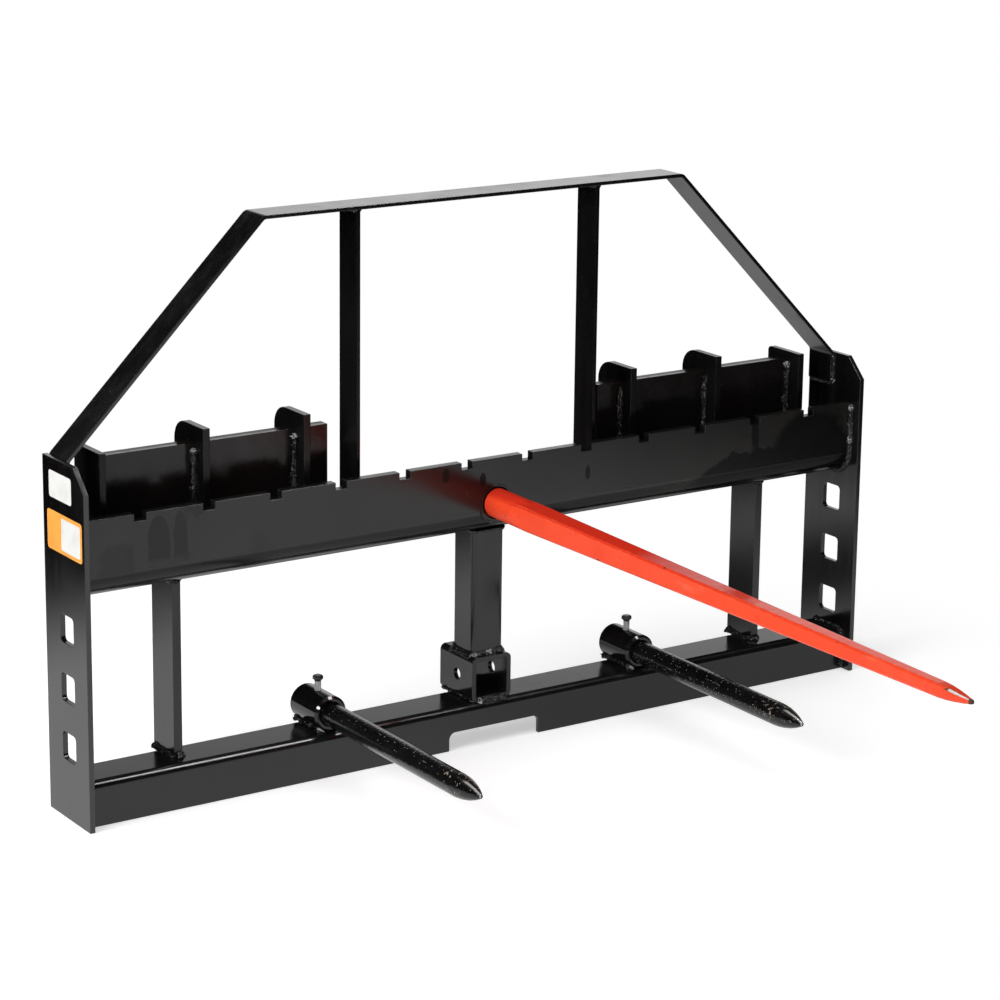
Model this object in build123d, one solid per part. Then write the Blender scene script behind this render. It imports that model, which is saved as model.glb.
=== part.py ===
from build123d import *
import os
from math import cos, radians, sqrt, tan

# Bale spear frame: two side plates joined by two bent-plate rails, a bent guard bar above,
# a receiver tube on a centre upright, one long spear, two short stabilizer spears, and the
# hooked lips that a loader's coupler lifts by.
# Millimetres. Origin: the middle of the frame, on the ground, in the plane of the side plates'
# back edges. +X is to the right seen from the front, the spears point along -Y, +Z is up.

# Side plates
OVERALL_WIDTH = 1257.0
PLATE_THICKNESS = 7.0
PLATE_DEPTH = 116.0
PLATE_RISE_OVER_RAIL = 68.0
PLATE_CHAMFER = 30.0
PLATE_HOLE_SIZE = 37.5
PLATE_HOLE_CORNER = 6.0
PLATE_HOLE_COUNT = 3
PLATE_HOLE_PITCH = 79.0
PLATE_HOLE_FIRST_HEIGHT = 99.0
PLATE_HOLE_FROM_BACK = 60.5

# Rails, bent from plate: the top rail's leg turns back at its foot, the bottom rail's at its head
RAIL_SETBACK = 18.0
CARRIAGE_HEIGHT = 407.0
TOP_RAIL_HEIGHT = 104.5
TOP_RAIL_THICKNESS = 12.7
TOP_RAIL_BEND_RADIUS = 30.0
TOP_RAIL_LEG = 92.0
NOTCH_COUNT = 12
NOTCH_PITCH = 98.4
NOTCH_WIDTH = 17.5
NOTCH_DEPTH = 10.0
BOTTOM_RAIL_HEIGHT = 60.0
BOTTOM_RAIL_THICKNESS = 6.0
BOTTOM_RAIL_BEND_RADIUS = 10.0
BOTTOM_RAIL_LEG = 66.0
CUTOUT_WIDTH = 148.0
CUTOUT_HEIGHT = 26.0
CUTOUT_CORNER = 10.0

# Guard bar, one bent flat bar, and the uprights under it
GUARD_RISE_OVER_PLATES = 287.5
GUARD_TOP_WIDTH = 672.0
GUARD_BAR_WIDTH = 50.0
GUARD_BAR_THICKNESS = 5.0
GUARD_BEND_RADIUS = 12.0
GUARD_TAB_LENGTH = 46.0
GUARD_BACK_INSET = 4.0
GUARD_UPRIGHT_OFFSET = 192.0
GUARD_UPRIGHT_THICKNESS = 5.0
GUARD_UPRIGHT_DEPTH = 45.0

# Uprights between the rails
LOWER_UPRIGHT_FROM_PLATE = 144.5
LOWER_UPRIGHT_THICKNESS = 12.0
LOWER_UPRIGHT_DEPTH = 57.0
LOWER_UPRIGHT_BACK_INSET = 12.5
CENTER_UPRIGHT_SIZE = 50.8
CENTER_UPRIGHT_WALL = 5.0
CENTER_UPRIGHT_CORNER = 7.0
CENTER_UPRIGHT_SETBACK = 19.0

# Receiver tube
RECEIVER_SIZE = 63.5
RECEIVER_WALL = 6.35
RECEIVER_CORNER = 8.0
RECEIVER_LENGTH = 82.0
RECEIVER_SETBACK = 8.5
PIN_HOLE_DIAMETER = 16.7
PIN_HOLE_FROM_FRONT = 39.0

# Main spear: forged square bar with a round shank in the sleeve and a threaded end.
# Its line hangs a little toward the point; the rise is where it crosses the back plane.
SPEAR_RISE_OVER_RAIL_FOOT = 41.7
SPEAR_DROOP = 0.3
SPEAR_REACH = 955.5
SPEAR_ROOT_DIAMETER = 41.0
SPEAR_ROOT_LENGTH = 60.0
SPEAR_BLEND_LENGTH = 32.0
SPEAR_BASE_SIDE = 34.0
SPEAR_NECK_SIDE = 16.8
SPEAR_CORNER_CUT = 2.5
SPEAR_ROOT_CORNER_CUT = 6.0
SPEAR_POINT_LENGTH = 52.0
SPEAR_POINT_SIDE = 4.5
SPEAR_POINT_STEPS = 4
SPEAR_POINT_FULLNESS = 1.6
SPEAR_THREAD_DIAMETER = 24.0
SPEAR_THREAD_PAST_NUT = 6.0
SPEAR_SLEEVE_WALL = 4.8
SPEAR_SLEEVE_PROUD = 0.5
SPEAR_SLEEVE_LENGTH = 90.5
SPEAR_NUT_ACROSS_FLATS = 41.0
SPEAR_NUT_HEIGHT = 22.0

# Stabilizer spears in their sleeves on the bottom rail
STABILIZER_OFFSET = 256.0
STABILIZER_DIAMETER = 32.0
STABILIZER_REACH = 364.5
STABILIZER_TAIL = 7.0
STABILIZER_POINT_LENGTH = 52.0
STABILIZER_POINT_RADIUS = 3.0
STABILIZER_SLEEVE_WALL = 8.0
STABILIZER_SLEEVE_LENGTH = 71.0
STABILIZER_SLEEVE_SETBACK = 10.0
SET_SCREW_DIAMETER = 9.5
SET_SCREW_ACROSS_FLATS = 14.5
SET_SCREW_HEAD_HEIGHT = 8.0
SET_SCREW_STAND_OFF = 13.0

# Coupler lips and their gussets, standing on the top rail's leg
LIP_THICKNESS = 8.0
LIP_RISE_OVER_RAIL = 59.0
LIP_FRONT_INSET = 19.0
LIP_INNER_END = 221.0
LIP_CREST_DEPTH = 17.0
LIP_POCKET_ANGLE = 45.0
LIP_REACH_BACK = 36.0
GUSSET_THICKNESS = 10.0
GUSSET_RISE_OVER_LIP = 23.0
GUSSET_REACH_FORWARD = 24.5
GUSSET_REACH_BACK = 36.0
GUSSET_TOP_RADIUS = 28.0
INNER_GUSSET_OFFSET = 266.0
MIDDLE_GUSSET_OFFSET = 416.5
OUTER_GUSSET_GAP = 50.0
OUTER_GUSSET_THICKNESS = 9.0
OUTER_GUSSET_RISE_OVER_LIP = 10.0
OUTER_GUSSET_REACH_FORWARD = 27.0
OUTER_GUSSET_REACH_BACK = 26.0
OUTER_GUSSET_CORNER = 6.0
OUTER_GUSSET_SHOULDER = 46.0

# Clearances, and how far a cutter passes the faces it cuts
WELD_FIT = 0.2
SLIDE_FIT = 0.3
THREAD_FIT = 0.1
CUT_PAST = 5.0

# Places worked out from the sizes above
HALF_WIDTH = OVERALL_WIDTH / 2
PLATE_INNER = HALF_WIDTH - PLATE_THICKNESS
PLATE_FRONT = -PLATE_DEPTH
PLATE_HEIGHT = CARRIAGE_HEIGHT + PLATE_RISE_OVER_RAIL
RAIL_FRONT = PLATE_FRONT + RAIL_SETBACK
TOP_RAIL_FOOT = CARRIAGE_HEIGHT - TOP_RAIL_HEIGHT
TOP_LEG_TOP = TOP_RAIL_FOOT + TOP_RAIL_THICKNESS
TOP_LEG_BACK = RAIL_FRONT + TOP_RAIL_LEG
GUARD_HEIGHT = PLATE_HEIGHT + GUARD_RISE_OVER_PLATES
GUARD_BACK = -GUARD_BACK_INSET
GUARD_UPRIGHT_BACK = GUARD_BACK - (GUARD_BAR_WIDTH - GUARD_UPRIGHT_DEPTH) / 2
GUARD_UNDERSIDE = GUARD_HEIGHT - GUARD_BAR_THICKNESS
RECEIVER_FRONT = RAIL_FRONT + RECEIVER_SETBACK
RECEIVER_TOP = BOTTOM_RAIL_HEIGHT + RECEIVER_SIZE
RECEIVER_MIDDLE = BOTTOM_RAIL_HEIGHT + RECEIVER_SIZE / 2
SPEAR_HEIGHT = TOP_RAIL_FOOT + SPEAR_RISE_OVER_RAIL_FOOT
SPEAR_ROOT_RADIUS = SPEAR_ROOT_DIAMETER / 2
SPEAR_SLEEVE_RADIUS = SPEAR_ROOT_RADIUS + SLIDE_FIT + SPEAR_SLEEVE_WALL
SPEAR_SLEEVE_FRONT = RAIL_FRONT - SPEAR_SLEEVE_PROUD
SPEAR_SLEEVE_BACK = SPEAR_SLEEVE_FRONT + SPEAR_SLEEVE_LENGTH
STABILIZER_RADIUS = STABILIZER_DIAMETER / 2
STABILIZER_BORE_RADIUS = STABILIZER_RADIUS + SLIDE_FIT
STABILIZER_SLEEVE_RADIUS = STABILIZER_BORE_RADIUS + STABILIZER_SLEEVE_WALL
STABILIZER_HEIGHT = BOTTOM_RAIL_HEIGHT + STABILIZER_SLEEVE_RADIUS
STABILIZER_SLEEVE_FRONT = RAIL_FRONT + STABILIZER_SLEEVE_SETBACK
STABILIZER_SLEEVE_MIDDLE = STABILIZER_SLEEVE_FRONT + STABILIZER_SLEEVE_LENGTH / 2
LIP_FRONT = -LIP_FRONT_INSET
LIP_TOP_HEIGHT = CARRIAGE_HEIGHT + LIP_RISE_OVER_RAIL
LIP_CREST_BACK = LIP_FRONT + LIP_CREST_DEPTH
GUSSET_TOP_HEIGHT = LIP_TOP_HEIGHT + GUSSET_RISE_OVER_LIP
OUTER_GUSSET_TOP_HEIGHT = LIP_TOP_HEIGHT + OUTER_GUSSET_RISE_OVER_LIP
OUTER_GUSSET_OUTSIDE = PLATE_INNER - OUTER_GUSSET_GAP
OUTER_GUSSET_INSIDE = OUTER_GUSSET_OUTSIDE - OUTER_GUSSET_THICKNESS

SIDES = {"left": -1, "right": 1}


def offset_path(points, distance):
    """Shift an open path to its right by a distance, with mitred corners."""
    normals = []
    for (x0, y0), (x1, y1) in zip(points, points[1:]):
        length = sqrt((x1 - x0) ** 2 + (y1 - y0) ** 2)
        normals.append(((y1 - y0) / length, (x0 - x1) / length))
    shifted = []
    for index, (x, y) in enumerate(points):
        before = normals[max(index - 1, 0)]
        after = normals[min(index, len(normals) - 1)]
        spread = 1 + before[0] * after[0] + before[1] * after[1]
        shifted.append((
            x + distance * (before[0] + after[0]) / spread,
            y + distance * (before[1] + after[1]) / spread,
        ))
    return shifted


def bent_section(points, thickness, outer_radius):
    """The section of a strip bent along a path, its thickness to the path's right."""
    inner_points = offset_path(points, thickness)
    outer = FilletPolyline(*points, radius=outer_radius)
    inner = FilletPolyline(*inner_points, radius=outer_radius - thickness)
    ends = [Line(points[0], inner_points[0]), Line(points[-1], inner_points[-1])]
    return make_face([outer, inner, *ends])


def extrude_across(face, x_low, x_high):
    """Extrude a face drawn in Y and Z from one X to another."""
    return extrude(Plane.YZ.offset(x_low) * face, amount=x_high - x_low)


def turned(outline):
    """Revolve an outline of (radius, y) points about the Y axis."""
    return revolve(make_face(Polyline(*outline, close=True)), Axis.Y)


def on_spear_line(shape):
    """Move a piece made along the Y axis onto the main spear's line."""
    return Pos(0, 0, SPEAR_HEIGHT) * Rot(SPEAR_DROOP, 0, 0) * shape


def square_tube(size, wall, corner, length):
    """A square tube along Z, standing on its own base."""
    hollow = size - 2 * wall
    section = RectangleRounded(size, size, corner) - Rectangle(hollow, hollow)
    return extrude(section, amount=length)


def side_plate(side):
    outline = Polyline(
        (0, 0),
        (PLATE_FRONT, 0),
        (PLATE_FRONT, PLATE_HEIGHT - PLATE_CHAMFER),
        (PLATE_FRONT + PLATE_CHAMFER, PLATE_HEIGHT),
        (0, PLATE_HEIGHT),
        close=True,
    )
    face = make_face(outline)
    for index in range(PLATE_HOLE_COUNT):
        height = PLATE_HOLE_FIRST_HEIGHT + index * PLATE_HOLE_PITCH
        hole = RectangleRounded(PLATE_HOLE_SIZE, PLATE_HOLE_SIZE, PLATE_HOLE_CORNER)
        face -= Pos(-PLATE_HOLE_FROM_BACK, height) * hole
    low = min(side * PLATE_INNER, side * HALF_WIDTH)
    return extrude_across(face, low, low + PLATE_THICKNESS)


def top_rail():
    path = [(TOP_LEG_BACK, TOP_RAIL_FOOT), (RAIL_FRONT, TOP_RAIL_FOOT), (RAIL_FRONT, CARRIAGE_HEIGHT)]
    section = bent_section(path, TOP_RAIL_THICKNESS, TOP_RAIL_BEND_RADIUS)
    rail = extrude_across(section, -PLATE_INNER, PLATE_INNER)
    notch = Box(NOTCH_WIDTH, 2 * (TOP_RAIL_THICKNESS + CUT_PAST), 2 * NOTCH_DEPTH)
    first = -(NOTCH_COUNT - 1) / 2 * NOTCH_PITCH
    for index in range(NOTCH_COUNT):
        rail -= Pos(first + index * NOTCH_PITCH, RAIL_FRONT, CARRIAGE_HEIGHT) * notch
    bore_radius = SPEAR_SLEEVE_RADIUS + WELD_FIT
    bore_front = RAIL_FRONT - CUT_PAST
    bore = turned([(0, bore_front), (bore_radius, bore_front), (bore_radius, CUT_PAST), (0, CUT_PAST)])
    return rail - on_spear_line(bore)


def bottom_rail():
    leg_back = RAIL_FRONT + BOTTOM_RAIL_LEG
    path = [(RAIL_FRONT, 0), (RAIL_FRONT, BOTTOM_RAIL_HEIGHT), (leg_back, BOTTOM_RAIL_HEIGHT)]
    section = bent_section(path, BOTTOM_RAIL_THICKNESS, BOTTOM_RAIL_BEND_RADIUS)
    rail = extrude_across(section, -PLATE_INNER, PLATE_INNER)
    opening = RectangleRounded(CUTOUT_WIDTH, 2 * CUTOUT_HEIGHT, CUTOUT_CORNER)
    reach = BOTTOM_RAIL_THICKNESS + CUT_PAST
    return rail - extrude(Plane.XZ.offset(-RAIL_FRONT) * opening, amount=reach, both=True)


def guard_bar():
    half_top = GUARD_TOP_WIDTH / 2
    tab_foot = PLATE_HEIGHT - GUARD_TAB_LENGTH
    path = [
        (-PLATE_INNER, tab_foot),
        (-PLATE_INNER, PLATE_HEIGHT),
        (-half_top, GUARD_HEIGHT),
        (half_top, GUARD_HEIGHT),
        (PLATE_INNER, PLATE_HEIGHT),
        (PLATE_INNER, tab_foot),
    ]
    section = bent_section(path, GUARD_BAR_THICKNESS, GUARD_BEND_RADIUS)
    return extrude(Plane.XZ.offset(-GUARD_BACK) * section, amount=GUARD_BAR_WIDTH)


def flat_upright(x, thickness, depth, back, foot, head):
    """A flat bar standing edge-on to the front."""
    bar = Box(thickness, depth, head - foot, align=(Align.CENTER, Align.MAX, Align.MIN))
    return Pos(x, back, foot) * bar


def center_upright():
    length = TOP_RAIL_FOOT - RECEIVER_TOP
    tube = square_tube(CENTER_UPRIGHT_SIZE, CENTER_UPRIGHT_WALL, CENTER_UPRIGHT_CORNER, length)
    middle = RAIL_FRONT + CENTER_UPRIGHT_SETBACK + CENTER_UPRIGHT_SIZE / 2
    return Pos(0, middle, RECEIVER_TOP) * tube


def receiver_tube():
    tube = square_tube(RECEIVER_SIZE, RECEIVER_WALL, RECEIVER_CORNER, RECEIVER_LENGTH)
    tube = Pos(0, RECEIVER_FRONT, RECEIVER_MIDDLE) * Rot(-90, 0, 0) * tube
    pin_place = RECEIVER_FRONT + PIN_HOLE_FROM_FRONT
    pin = Rot(0, 90, 0) * Cylinder(PIN_HOLE_DIAMETER / 2, RECEIVER_SIZE + CUT_PAST)
    return tube - Pos(0, pin_place, RECEIVER_MIDDLE) * pin


def spear_sleeve():
    bore = SPEAR_ROOT_RADIUS + SLIDE_FIT
    outline = [
        (bore, SPEAR_SLEEVE_FRONT),
        (SPEAR_SLEEVE_RADIUS, SPEAR_SLEEVE_FRONT),
        (SPEAR_SLEEVE_RADIUS, SPEAR_SLEEVE_BACK),
        (bore, SPEAR_SLEEVE_BACK),
    ]
    return on_spear_line(turned(outline))


def spear_square(side, y, corner_cut):
    """A square section of the spear, its corners cut, at one place along it."""
    square = Rectangle(side, side)
    return Plane.XZ.offset(-y) * chamfer(square.vertices(), corner_cut)


def main_spear():
    tip = SPEAR_SLEEVE_FRONT - SPEAR_REACH
    neck = tip + SPEAR_POINT_LENGTH
    root_end = SPEAR_SLEEVE_FRONT - SPEAR_ROOT_LENGTH
    blend_end = root_end - SPEAR_BLEND_LENGTH
    bar_start = SPEAR_SLEEVE_FRONT - SPEAR_ROOT_LENGTH / 2
    taper = (SPEAR_BASE_SIDE - SPEAR_NECK_SIDE) / (bar_start - neck)
    blend_side = SPEAR_BASE_SIDE - taper * (bar_start - blend_end)
    # The corners are cut back at the root, and a narrowing cone there fills the bar's flats.
    sections = [
        spear_square(SPEAR_BASE_SIDE, bar_start, SPEAR_ROOT_CORNER_CUT),
        spear_square(blend_side, blend_end, SPEAR_CORNER_CUT),
    ]
    for step in range(SPEAR_POINT_STEPS + 1):
        along = step / SPEAR_POINT_STEPS
        narrowing = along ** SPEAR_POINT_FULLNESS
        side = SPEAR_NECK_SIDE - (SPEAR_NECK_SIDE - SPEAR_POINT_SIDE) * narrowing
        place = neck - SPEAR_POINT_LENGTH * along
        sections.append(spear_square(side, place, SPEAR_CORNER_CUT * side / SPEAR_NECK_SIDE))
    bar = loft(sections, ruled=True)
    thread = SPEAR_THREAD_DIAMETER / 2
    thread_end = SPEAR_SLEEVE_BACK + SPEAR_NUT_HEIGHT + SPEAR_THREAD_PAST_NUT
    flat_reach = SPEAR_NECK_SIDE / 2
    fill_end = blend_end - SPEAR_BLEND_LENGTH
    root = turned([
        (0, thread_end),
        (thread, thread_end),
        (thread, SPEAR_SLEEVE_BACK),
        (SPEAR_ROOT_RADIUS, SPEAR_SLEEVE_BACK),
        (SPEAR_ROOT_RADIUS, root_end),
        (flat_reach, fill_end),
        (0, fill_end),
    ])
    return on_spear_line(bar + root)


def hex_prism(across_flats, height):
    """A hexagon standing on Z = 0."""
    return extrude(RegularPolygon(across_flats / 2 / cos(radians(30)), 6), amount=height)


def spear_nut():
    nut = hex_prism(SPEAR_NUT_ACROSS_FLATS, SPEAR_NUT_HEIGHT)
    nut -= Cylinder(SPEAR_THREAD_DIAMETER / 2 + THREAD_FIT, 2 * (SPEAR_NUT_HEIGHT + CUT_PAST))
    return on_spear_line(Pos(0, SPEAR_SLEEVE_BACK, 0) * Rot(-90, 0, 0) * nut)


def stabilizer_sleeve(side):
    back = STABILIZER_SLEEVE_FRONT + STABILIZER_SLEEVE_LENGTH
    outline = [
        (STABILIZER_BORE_RADIUS, STABILIZER_SLEEVE_FRONT),
        (STABILIZER_SLEEVE_RADIUS, STABILIZER_SLEEVE_FRONT),
        (STABILIZER_SLEEVE_RADIUS, back),
        (STABILIZER_BORE_RADIUS, back),
    ]
    screw_hole = Cylinder(
        SET_SCREW_DIAMETER / 2 + THREAD_FIT,
        STABILIZER_SLEEVE_RADIUS + CUT_PAST,
        align=(Align.CENTER, Align.CENTER, Align.MIN),
    )
    sleeve = turned(outline) - Pos(0, STABILIZER_SLEEVE_MIDDLE, 0) * screw_hole
    return Pos(side * STABILIZER_OFFSET, 0, STABILIZER_HEIGHT) * sleeve


def stabilizer_spear(side):
    back = STABILIZER_SLEEVE_FRONT + STABILIZER_SLEEVE_LENGTH + STABILIZER_TAIL
    tip = STABILIZER_SLEEVE_FRONT - STABILIZER_REACH
    shoulder = tip + STABILIZER_POINT_LENGTH
    outline = [
        Line((0, back), (STABILIZER_RADIUS, back)),
        Line((STABILIZER_RADIUS, back), (STABILIZER_RADIUS, shoulder)),
        TangentArc((STABILIZER_RADIUS, shoulder), (STABILIZER_POINT_RADIUS, tip), tangent=(0, -1)),
        Line((STABILIZER_POINT_RADIUS, tip), (0, tip)),
        Line((0, tip), (0, back)),
    ]
    bar = revolve(make_face(outline), Axis.Y)
    return Pos(side * STABILIZER_OFFSET, 0, STABILIZER_HEIGHT) * bar


def set_screw(side):
    foot = STABILIZER_HEIGHT + STABILIZER_RADIUS + THREAD_FIT
    seat = STABILIZER_HEIGHT + STABILIZER_SLEEVE_RADIUS + SET_SCREW_STAND_OFF
    shank = Cylinder(SET_SCREW_DIAMETER / 2, seat - foot, align=(Align.CENTER, Align.CENTER, Align.MIN))
    head = hex_prism(SET_SCREW_ACROSS_FLATS, SET_SCREW_HEAD_HEIGHT)
    screw = Pos(0, 0, foot) * shank + Pos(0, 0, seat) * head
    return Pos(side * STABILIZER_OFFSET, STABILIZER_SLEEVE_MIDDLE, 0) * screw


def lip_path(reach_back):
    """The outer face of a lip: up its front, across its crest, down its hooked flange."""
    drop = (reach_back - LIP_CREST_BACK) / tan(radians(LIP_POCKET_ANGLE))
    return [
        (LIP_FRONT, TOP_LEG_TOP),
        (LIP_FRONT, LIP_TOP_HEIGHT),
        (LIP_CREST_BACK, LIP_TOP_HEIGHT),
        (reach_back, LIP_TOP_HEIGHT - drop),
    ]


def coupler_lip(side):
    outer = lip_path(LIP_REACH_BACK)
    inner = offset_path(outer, LIP_THICKNESS)
    section = make_face(Polyline(*outer, *reversed(inner), close=True))
    low = min(side * LIP_INNER_END, side * OUTER_GUSSET_INSIDE)
    return extrude_across(section, low, low + OUTER_GUSSET_INSIDE - LIP_INNER_END)


def lip_clearance():
    """The space behind a gusset's inner edge: the lip, its weld gap and the coupler's pocket."""
    reach = GUSSET_REACH_BACK + CUT_PAST
    path = offset_path(lip_path(reach), -WELD_FIT)
    floor = TOP_LEG_TOP - CUT_PAST
    below = [(path[-1][0], floor), (path[0][0], floor)]
    return make_face(Polyline(*path, *below, close=True))


def gusset(x):
    front = LIP_FRONT - GUSSET_REACH_FORWARD
    outline = make_face(Polyline(
        (front, TOP_LEG_TOP),
        (front, GUSSET_TOP_HEIGHT),
        (GUSSET_REACH_BACK, GUSSET_TOP_HEIGHT),
        (GUSSET_REACH_BACK, TOP_LEG_TOP),
        close=True,
    ))
    top_back = outline.vertices().group_by(Axis.Y)[-1].sort_by(Axis.X)[-1]
    outline = fillet(top_back, GUSSET_TOP_RADIUS)
    face = outline - lip_clearance()
    return extrude_across(face, x - GUSSET_THICKNESS / 2, x + GUSSET_THICKNESS / 2)


def outer_gusset(side):
    front = LIP_FRONT - OUTER_GUSSET_REACH_FORWARD
    shoulder = OUTER_GUSSET_TOP_HEIGHT - OUTER_GUSSET_SHOULDER
    slope_foot = shoulder - (OUTER_GUSSET_REACH_BACK - TOP_LEG_BACK)
    outline = make_face(Polyline(
        (front, TOP_LEG_TOP),
        (front, OUTER_GUSSET_TOP_HEIGHT),
        (OUTER_GUSSET_REACH_BACK, OUTER_GUSSET_TOP_HEIGHT),
        (OUTER_GUSSET_REACH_BACK, shoulder),
        (TOP_LEG_BACK, slope_foot),
        (TOP_LEG_BACK, TOP_LEG_TOP),
        close=True,
    ))
    top_back = outline.vertices().group_by(Axis.Y)[-1].sort_by(Axis.X)[-1]
    outline = fillet(top_back, OUTER_GUSSET_CORNER)
    low = min(side * OUTER_GUSSET_INSIDE, side * OUTER_GUSSET_OUTSIDE)
    return extrude_across(outline, low, low + OUTER_GUSSET_THICKNESS)


def build_nodes():
    nodes = {
        "top_rail": top_rail(),
        "bottom_rail": bottom_rail(),
        "guard_bar": guard_bar(),
        "center_upright": center_upright(),
        "receiver_tube": receiver_tube(),
        "spear_sleeve": spear_sleeve(),
        "main_spear": main_spear(),
        "spear_nut": spear_nut(),
    }
    for name, side in SIDES.items():
        nodes[f"{name}_side_plate"] = side_plate(side)
        nodes[f"{name}_guard_upright"] = flat_upright(
            side * GUARD_UPRIGHT_OFFSET, GUARD_UPRIGHT_THICKNESS, GUARD_UPRIGHT_DEPTH,
            GUARD_UPRIGHT_BACK, TOP_LEG_TOP, GUARD_UNDERSIDE)
        nodes[f"{name}_lower_upright"] = flat_upright(
            side * (PLATE_INNER - LOWER_UPRIGHT_FROM_PLATE), LOWER_UPRIGHT_THICKNESS, LOWER_UPRIGHT_DEPTH,
            -LOWER_UPRIGHT_BACK_INSET, BOTTOM_RAIL_HEIGHT, TOP_RAIL_FOOT)
        nodes[f"{name}_stabilizer_sleeve"] = stabilizer_sleeve(side)
        nodes[f"{name}_stabilizer_spear"] = stabilizer_spear(side)
        nodes[f"{name}_set_screw"] = set_screw(side)
        nodes[f"{name}_coupler_lip"] = coupler_lip(side)
        nodes[f"{name}_inner_gusset"] = gusset(side * INNER_GUSSET_OFFSET)
        nodes[f"{name}_middle_gusset"] = gusset(side * MIDDLE_GUSSET_OFFSET)
        nodes[f"{name}_outer_gusset"] = outer_gusset(side)
    return nodes


os.makedirs("parts", exist_ok=True)
for node_name, solid in build_nodes().items():
    export_step(solid, f"parts/{node_name}.step")
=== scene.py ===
import math
import random

import bpy
from mathutils import Matrix, Vector


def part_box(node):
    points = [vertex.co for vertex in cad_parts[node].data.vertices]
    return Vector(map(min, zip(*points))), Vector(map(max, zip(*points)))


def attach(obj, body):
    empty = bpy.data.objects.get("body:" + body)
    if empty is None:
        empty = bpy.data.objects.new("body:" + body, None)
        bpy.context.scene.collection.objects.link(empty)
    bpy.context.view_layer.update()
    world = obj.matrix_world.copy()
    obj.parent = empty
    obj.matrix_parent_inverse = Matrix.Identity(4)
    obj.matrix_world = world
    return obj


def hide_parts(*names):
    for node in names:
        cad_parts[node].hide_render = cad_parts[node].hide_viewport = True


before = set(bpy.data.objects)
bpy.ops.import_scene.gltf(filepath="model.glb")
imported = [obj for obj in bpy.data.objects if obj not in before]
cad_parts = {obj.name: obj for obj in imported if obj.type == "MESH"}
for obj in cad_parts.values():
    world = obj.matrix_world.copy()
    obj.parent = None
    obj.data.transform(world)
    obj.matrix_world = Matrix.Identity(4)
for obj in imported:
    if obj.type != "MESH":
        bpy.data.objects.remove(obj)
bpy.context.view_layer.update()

# Looks for the bale spear frame: paint, bare metal, weld beads, screws, labels, light and camera.
# Metres, in the frame of the solids: the spears point along -Y and +Z is up.

# Camera
CAMERA_PLACE = Vector((-2.26255, -3.48098, 1.46203))
CAMERA_AZIMUTH = -33.685
CAMERA_ELEVATION = 13.975
CAMERA_ROLL = 0.678
CAMERA_LENS = 111.675
CAMERA_SENSOR = 36.0
CAMERA_SHIFT = (0.0067, -0.0725)

# Lamps: place, target, size, watts, and whether only mirror-like surfaces see it
LAMPS = {
    "key_lamp": ((-3.2, -0.5, 1.9), (0.0, -0.3, 0.3), (2.4, 2.0), 105.0, False),
    "top_lamp": ((0.3, -0.6, 3.2), (0.0, -0.3, 0.2), (2.6, 2.6), 26.0, False),
    "glint_lamp": ((-2.64, -2.10, 1.46), (-0.2, -0.1, 0.1), (0.46, 0.46), 38.0, True),
    "edge_lamp": ((0.75, -0.90, 2.25), (-0.45, -0.1, 0.06), (0.70, 0.70), 24.0, True),
}

# Floor and backdrop
FLOOR_HALF_SIZE = 9.0
FLOOR_DROP = 0.0005
FLOOR_GREY = (0.88, 0.88, 0.88)
FLOOR_GLOW = 0.44
FLOOR_FADE = (0.60, 1.05)
AMBIENT = 0.31
DIAGONAL = 0.707
WHITE = (1, 1, 1)

# Sizes that the finish pieces need beside the solids' own boxes
TOP_RAIL_BEND = 0.030
BOTTOM_RAIL_BEND = 0.010
RECEIVER_CORNER = 0.008
LIP_THICKNESS = 0.008
SPEAR_AXIS_HEIGHT = 0.3442
SPEAR_AXIS_SLOPE = 0.00524
POINT_STREAK_TURN = 0.76
SLEEVE_CHAMFER = 0.0032
SLEEVE_BORE_CHAMFER = 0.0014
SLEEVE_CLEARANCE = 0.0003

# Threads: radius, depth and pitch; the flat factor stretches the flanks so that the roots are flat
SCREW_THREAD = (0.00475, 0.0007, 0.0016)
SPEAR_THREAD = (0.0127, 0.0009, 0.002)
THREAD_FLAT = 1.15
SPEAR_THREAD_CHAMFER = 0.0006
SPEAR_THREAD_PROUD = 0.0002
SPEAR_THREAD_END_SHARE = 0.93

# Set-screw heads
SCREW_HEAD_HEIGHT = 0.008
SCREW_HEAD_CROWN = 0.0018
SCREW_NECK_SHARE = 0.30

# Weld beads: how they are laid
BEAD_STEP = 0.0012
BEAD_SIDES = 5
BEAD_PITCH = 0.0042
BEAD_SINK = 0.0006
BEAD_SIZE = 0.74
BEAD_RIPPLE = 0.30
BEAD_LAG = 0.0026
BEAD_FLATTENING = 0.16
BEAD_JITTER = 0.13
BEAD_WANDER = 0.10
BEAD_WANDER_RATE = 140
BEAD_DRIFT = 0.08
BEAD_END_SIZE = 0.35
BEAD_END_LENGTH = 0.004
BEAD_SWELL = 0.30
BEAD_SWELL_FROM_END = 0.005
BEAD_SWELL_LENGTH = 0.0035

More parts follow.
